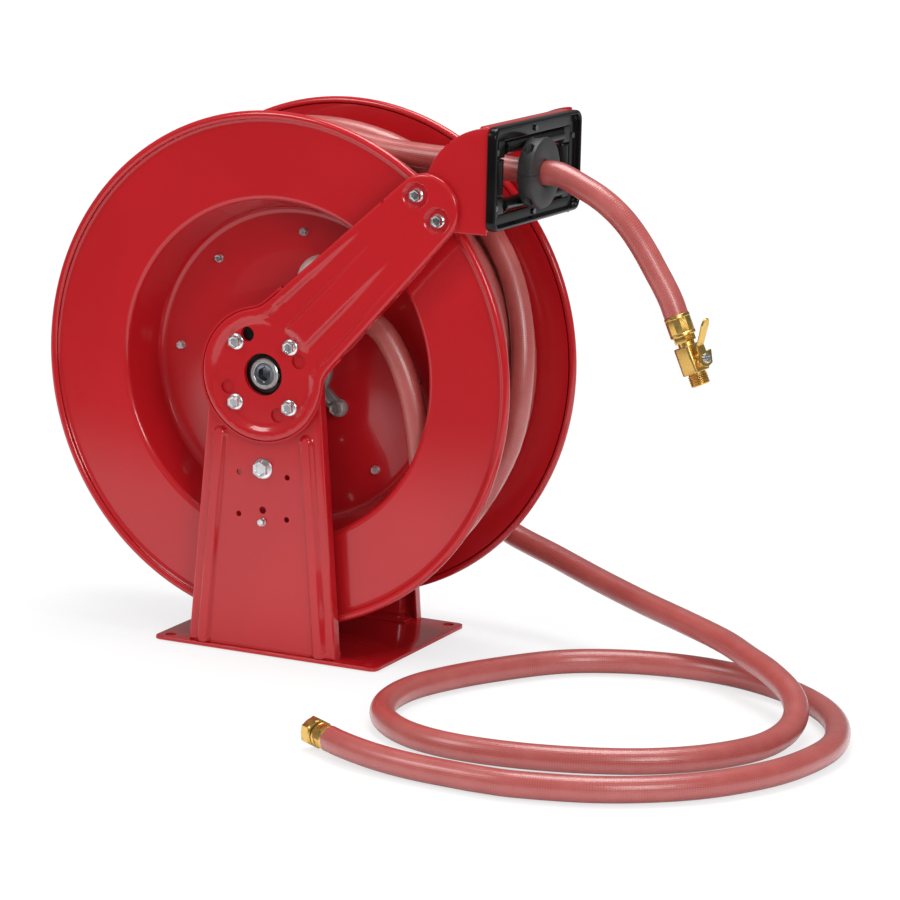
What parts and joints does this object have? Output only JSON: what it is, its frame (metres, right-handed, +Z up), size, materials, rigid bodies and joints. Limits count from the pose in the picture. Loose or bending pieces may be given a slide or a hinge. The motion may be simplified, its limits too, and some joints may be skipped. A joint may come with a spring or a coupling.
{
  "type": "spring rewind hose reel",
  "caption": "Floor-standing spring-rewind fire hose reel: dished steel drum between two posts, angled arms to a four-roller hose guide, inlet hose and outlet ball valve.",
  "frame": {"origin": "the point on the floor, and on the base plate's underside, straight under the middle of the axle; the plate's own middle is 5 mm further along +X", "axes": "+Z up; +X in the plane of the drum, towards the hose guide; +Y along the axle, from the face with the latch bolt towards the inlet swivel"},
  "size_m": [1.0037, 0.6403, 0.6153],
  "materials": {
    "red_paint": "gloss",
    "zinc_steel": "satin",
    "cast_aluminium": "matte",
    "bare_steel": "satin",
    "brass": "satin",
    "hose_cover": "matte",
    "black_plastic": "satin",
    "black_rubber": "matte"
  },
  "bodies": {
    "frame": {"base_plate": "red_paint", "front_post": "red_paint", "rear_post": "red_paint", "front_arm": "red_paint", "rear_arm": "red_paint", "arm_hub_screws": "zinc_steel", "arm_tip_screws": "zinc_steel", "front_bearing": "zinc_steel", "rear_bearing": "zinc_steel", "pawl_bolt": "zinc_steel", "pawl_spacer": "zinc_steel", "latch_spring": "zinc_steel", "spring_hook_screw": "zinc_steel", "spring_arbor": "cast_aluminium", "hose_run": "hose_cover", "guide_housing": "red_paint", "guide_bezel": "black_plastic", "bezel_screws": "zinc_steel", "roller_pins": "zinc_steel", "stop_upper": "black_rubber", "stop_lower": "black_rubber", "stop_screws": "zinc_steel", "outlet_hose": "hose_cover", "outlet_ferrule": "brass", "valve_body": "brass", "inlet_swivel": "brass", "inlet_start_ferrule": "brass", "inlet_hose": "hose_cover", "inlet_ferrule": "brass", "coupling_washer": "black_rubber"},
    "drum": {"front_disc": "red_paint", "rear_disc": "red_paint", "drum_band": "red_paint", "disc_screws": "zinc_steel", "hub_casting": "cast_aluminium", "hub_bolts": "zinc_steel", "shaft": "bare_steel", "shaft_plug": "zinc_steel", "retaining_rings": "zinc_steel", "ratchet_wheel": "zinc_steel", "spring_case": "red_paint", "spring_cover": "red_paint", "cover_screws": "zinc_steel", "power_spring": "zinc_steel", "riser_elbow": "cast_aluminium", "riser_ferrule": "brass", "hose_lead": "hose_cover", "hose_core": "hose_cover", "hose_winding": "hose_cover"},
    "pawl": {"latch_pawl": "zinc_steel"},
    "roller_top": {"top_roller": "black_plastic"},
    "roller_bottom": {"bottom_roller": "black_plastic"},
    "roller_front": {"front_side_roller": "black_plastic"},
    "roller_rear": {"rear_side_roller": "black_plastic"},
    "valve_handle": {"valve_ball": "zinc_steel", "valve_lever": "brass", "lever_screw": "zinc_steel"},
    "inlet_nut": {"coupling_nut": "brass"}
  },
  "joints": [
    {"name": "drum_spin", "type": "hinge", "parent": "frame", "child": "drum", "pos_m": [0, 0, 0.32], "axis": [0, 1, 0], "range_deg": [0, 3690], "stiffness_Nm_per_rad": 0.08, "springref_deg": -1718.87},
    {"name": "latch_pivot", "type": "hinge", "parent": "frame", "child": "pawl", "pos_m": [0, -0.09, 0.213], "axis": [0, 1, 0], "range_deg": [0, 14], "deforming": ["latch_spring"]},
    {"name": "top_roller_spin", "type": "hinge", "parent": "frame", "child": "roller_top", "pos_m": [0.267, 0, 0.588], "axis": [0, 1, 0], "continuous": true},
    {"name": "bottom_roller_spin", "type": "hinge", "parent": "frame", "child": "roller_bottom", "pos_m": [0.267, 0, 0.526], "axis": [0, 1, 0], "continuous": true},
    {"name": "front_roller_spin", "type": "hinge", "parent": "frame", "child": "roller_front", "pos_m": [0.2655, -0.084, 0.557], "axis": [0, 0, 1], "continuous": true},
    {"name": "rear_roller_spin", "type": "hinge", "parent": "frame", "child": "roller_rear", "pos_m": [0.2655, 0.084, 0.557], "axis": [0, 0, 1], "continuous": true},
    {"name": "valve_turn", "type": "hinge", "parent": "frame", "child": "valve_handle", "pos_m": [0.47253, -0.018, 0.36668], "axis": [0.8618, -0.342, 0.3747], "range_deg": [0, 90]},
    {"name": "inlet_nut_spin", "type": "hinge", "parent": "frame", "child": "inlet_nut", "pos_m": [0.22502, -0.399, 0.0165], "axis": [-0.866, 0.5, 0], "continuous": true}
  ]
}
